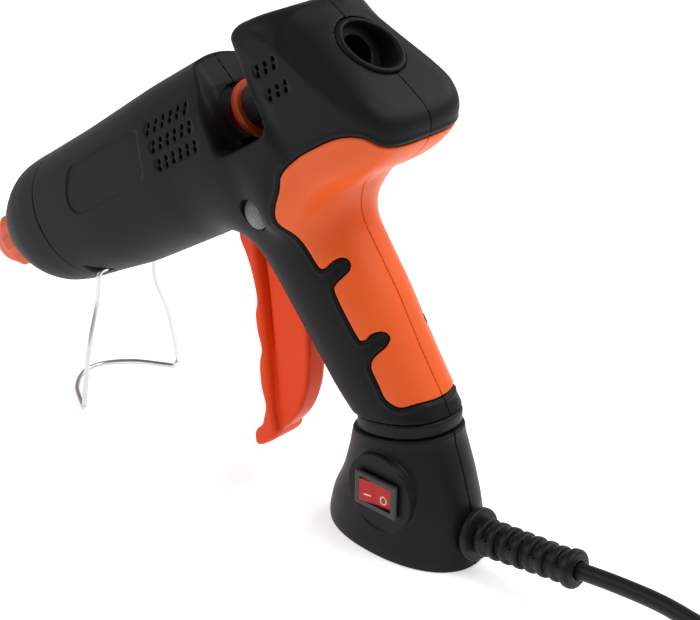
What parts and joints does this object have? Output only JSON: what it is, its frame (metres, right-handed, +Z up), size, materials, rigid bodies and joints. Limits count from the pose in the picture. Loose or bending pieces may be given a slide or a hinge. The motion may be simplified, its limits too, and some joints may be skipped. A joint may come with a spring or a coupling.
{
  "type": "glue gun",
  "caption": "Mains hot glue gun: sloped barrel with nozzle, saddle gap with feed ring, trigger, soft-grip handle on a flared base with rocker switch, wire stand and coiled lead.",
  "frame": {"origin": "middle of the flat bottom of the base, on the ground", "axes": "+Z up, the nozzle points to -X and 34 degrees down, +Y across the gun"},
  "size_m": [0.4866, 0.0828, 0.1888],
  "materials": {
    "black_plastic": "fine moulded texture",
    "orange_grip": "soft satin, fine moulded texture",
    "red_rocker": "gloss",
    "bright_steel": "bright nickel plate",
    "cast_aluminium": "as cast",
    "brass": "turned",
    "orange_silicone": "satin",
    "grey_lens": "translucent, patterned",
    "white_ceramic": "stands for ceramic",
    "cord_rubber": "satin",
    "blue_wire": "gloss",
    "brown_wire": "gloss"
  },
  "bodies": {
    "gun": {"housing_left": "black_plastic", "housing_right": "black_plastic", "grip_left": "orange_grip", "grip_right": "orange_grip", "nose_collar": "black_plastic", "nozzle": "brass", "nozzle_sleeve": "orange_silicone", "melt_chamber": "cast_aluminium", "heater_element": "white_ceramic", "heater_clip": "bright_steel", "thermal_fuse": "bright_steel", "chamber_support_front": "white_ceramic", "chamber_support_rear": "white_ceramic", "inlet_sleeve": "orange_silicone", "rear_guide": "black_plastic", "trigger_pin": "bright_steel", "base_left": "black_plastic", "base_right": "black_plastic", "base_plate": "black_plastic", "neck_ring": "black_plastic", "strain_relief": "cord_rubber", "switch_frame": "black_plastic", "switch_terminal_line": "brass", "switch_terminal_load": "brass", "indicator_lens": "grey_lens", "indicator_lamp": "grey_lens", "cord": "cord_rubber", "cord_coil": "cord_rubber", "cord_tail": "cord_rubber", "plug_body": "cord_rubber", "plug_pin_line": "brass", "plug_pin_neutral": "brass", "wire_live": "brown_wire", "wire_neutral": "blue_wire", "housing_screw_1": "bright_steel", "housing_screw_2": "bright_steel", "housing_screw_3": "bright_steel", "housing_screw_4": "bright_steel", "housing_screw_5": "bright_steel", "housing_screw_6": "bright_steel"},
    "trigger": {"trigger": "orange_grip"},
    "carriage": {"feed_carriage": "black_plastic", "feed_ring": "orange_silicone", "lever_pin": "bright_steel"},
    "lever": {"clamp_lever": "bright_steel"},
    "rocker": {"switch_rocker": "red_rocker"},
    "stand": {"wire_stand": "bright_steel"}
  },
  "joints": [
    {"name": "trigger_pull", "type": "hinge", "parent": "gun", "child": "trigger", "pos_m": [-0.066, 0, 0.106], "axis": [0, -1, 0], "range_deg": [0, 12], "stiffness_Nm_per_rad": 1, "springref_deg": -11.46},
    {"name": "stick_feed", "type": "slide", "parent": "gun", "child": "carriage", "axis": [-0.829, 0, -0.5592], "range_m": [0, 0.0046]},
    {"name": "lever_clamp", "type": "hinge", "parent": "carriage", "child": "lever", "pos_m": [-0.05231, 0, 0.17412], "axis": [0, -1, 0], "range_deg": [0, 4]},
    {"name": "switch_toggle", "type": "hinge", "parent": "gun", "child": "rocker", "pos_m": [0.0015, -0.0188, 0.026], "axis": [0, 0, -1], "range_deg": [0, 11]},
    {"name": "stand_fold", "type": "hinge", "parent": "gun", "child": "stand", "pos_m": [-0.151, 0, 0.0586], "axis": [0, -1, 0], "range_deg": [0, 105]}
  ],
  "couplings": [
    {"joint": "stick_feed", "follows": "trigger_pull", "m_per_rad": 0.0209},
    {"joint": "lever_clamp", "follows": "trigger_pull", "ratio": 0.3}
  ]
}
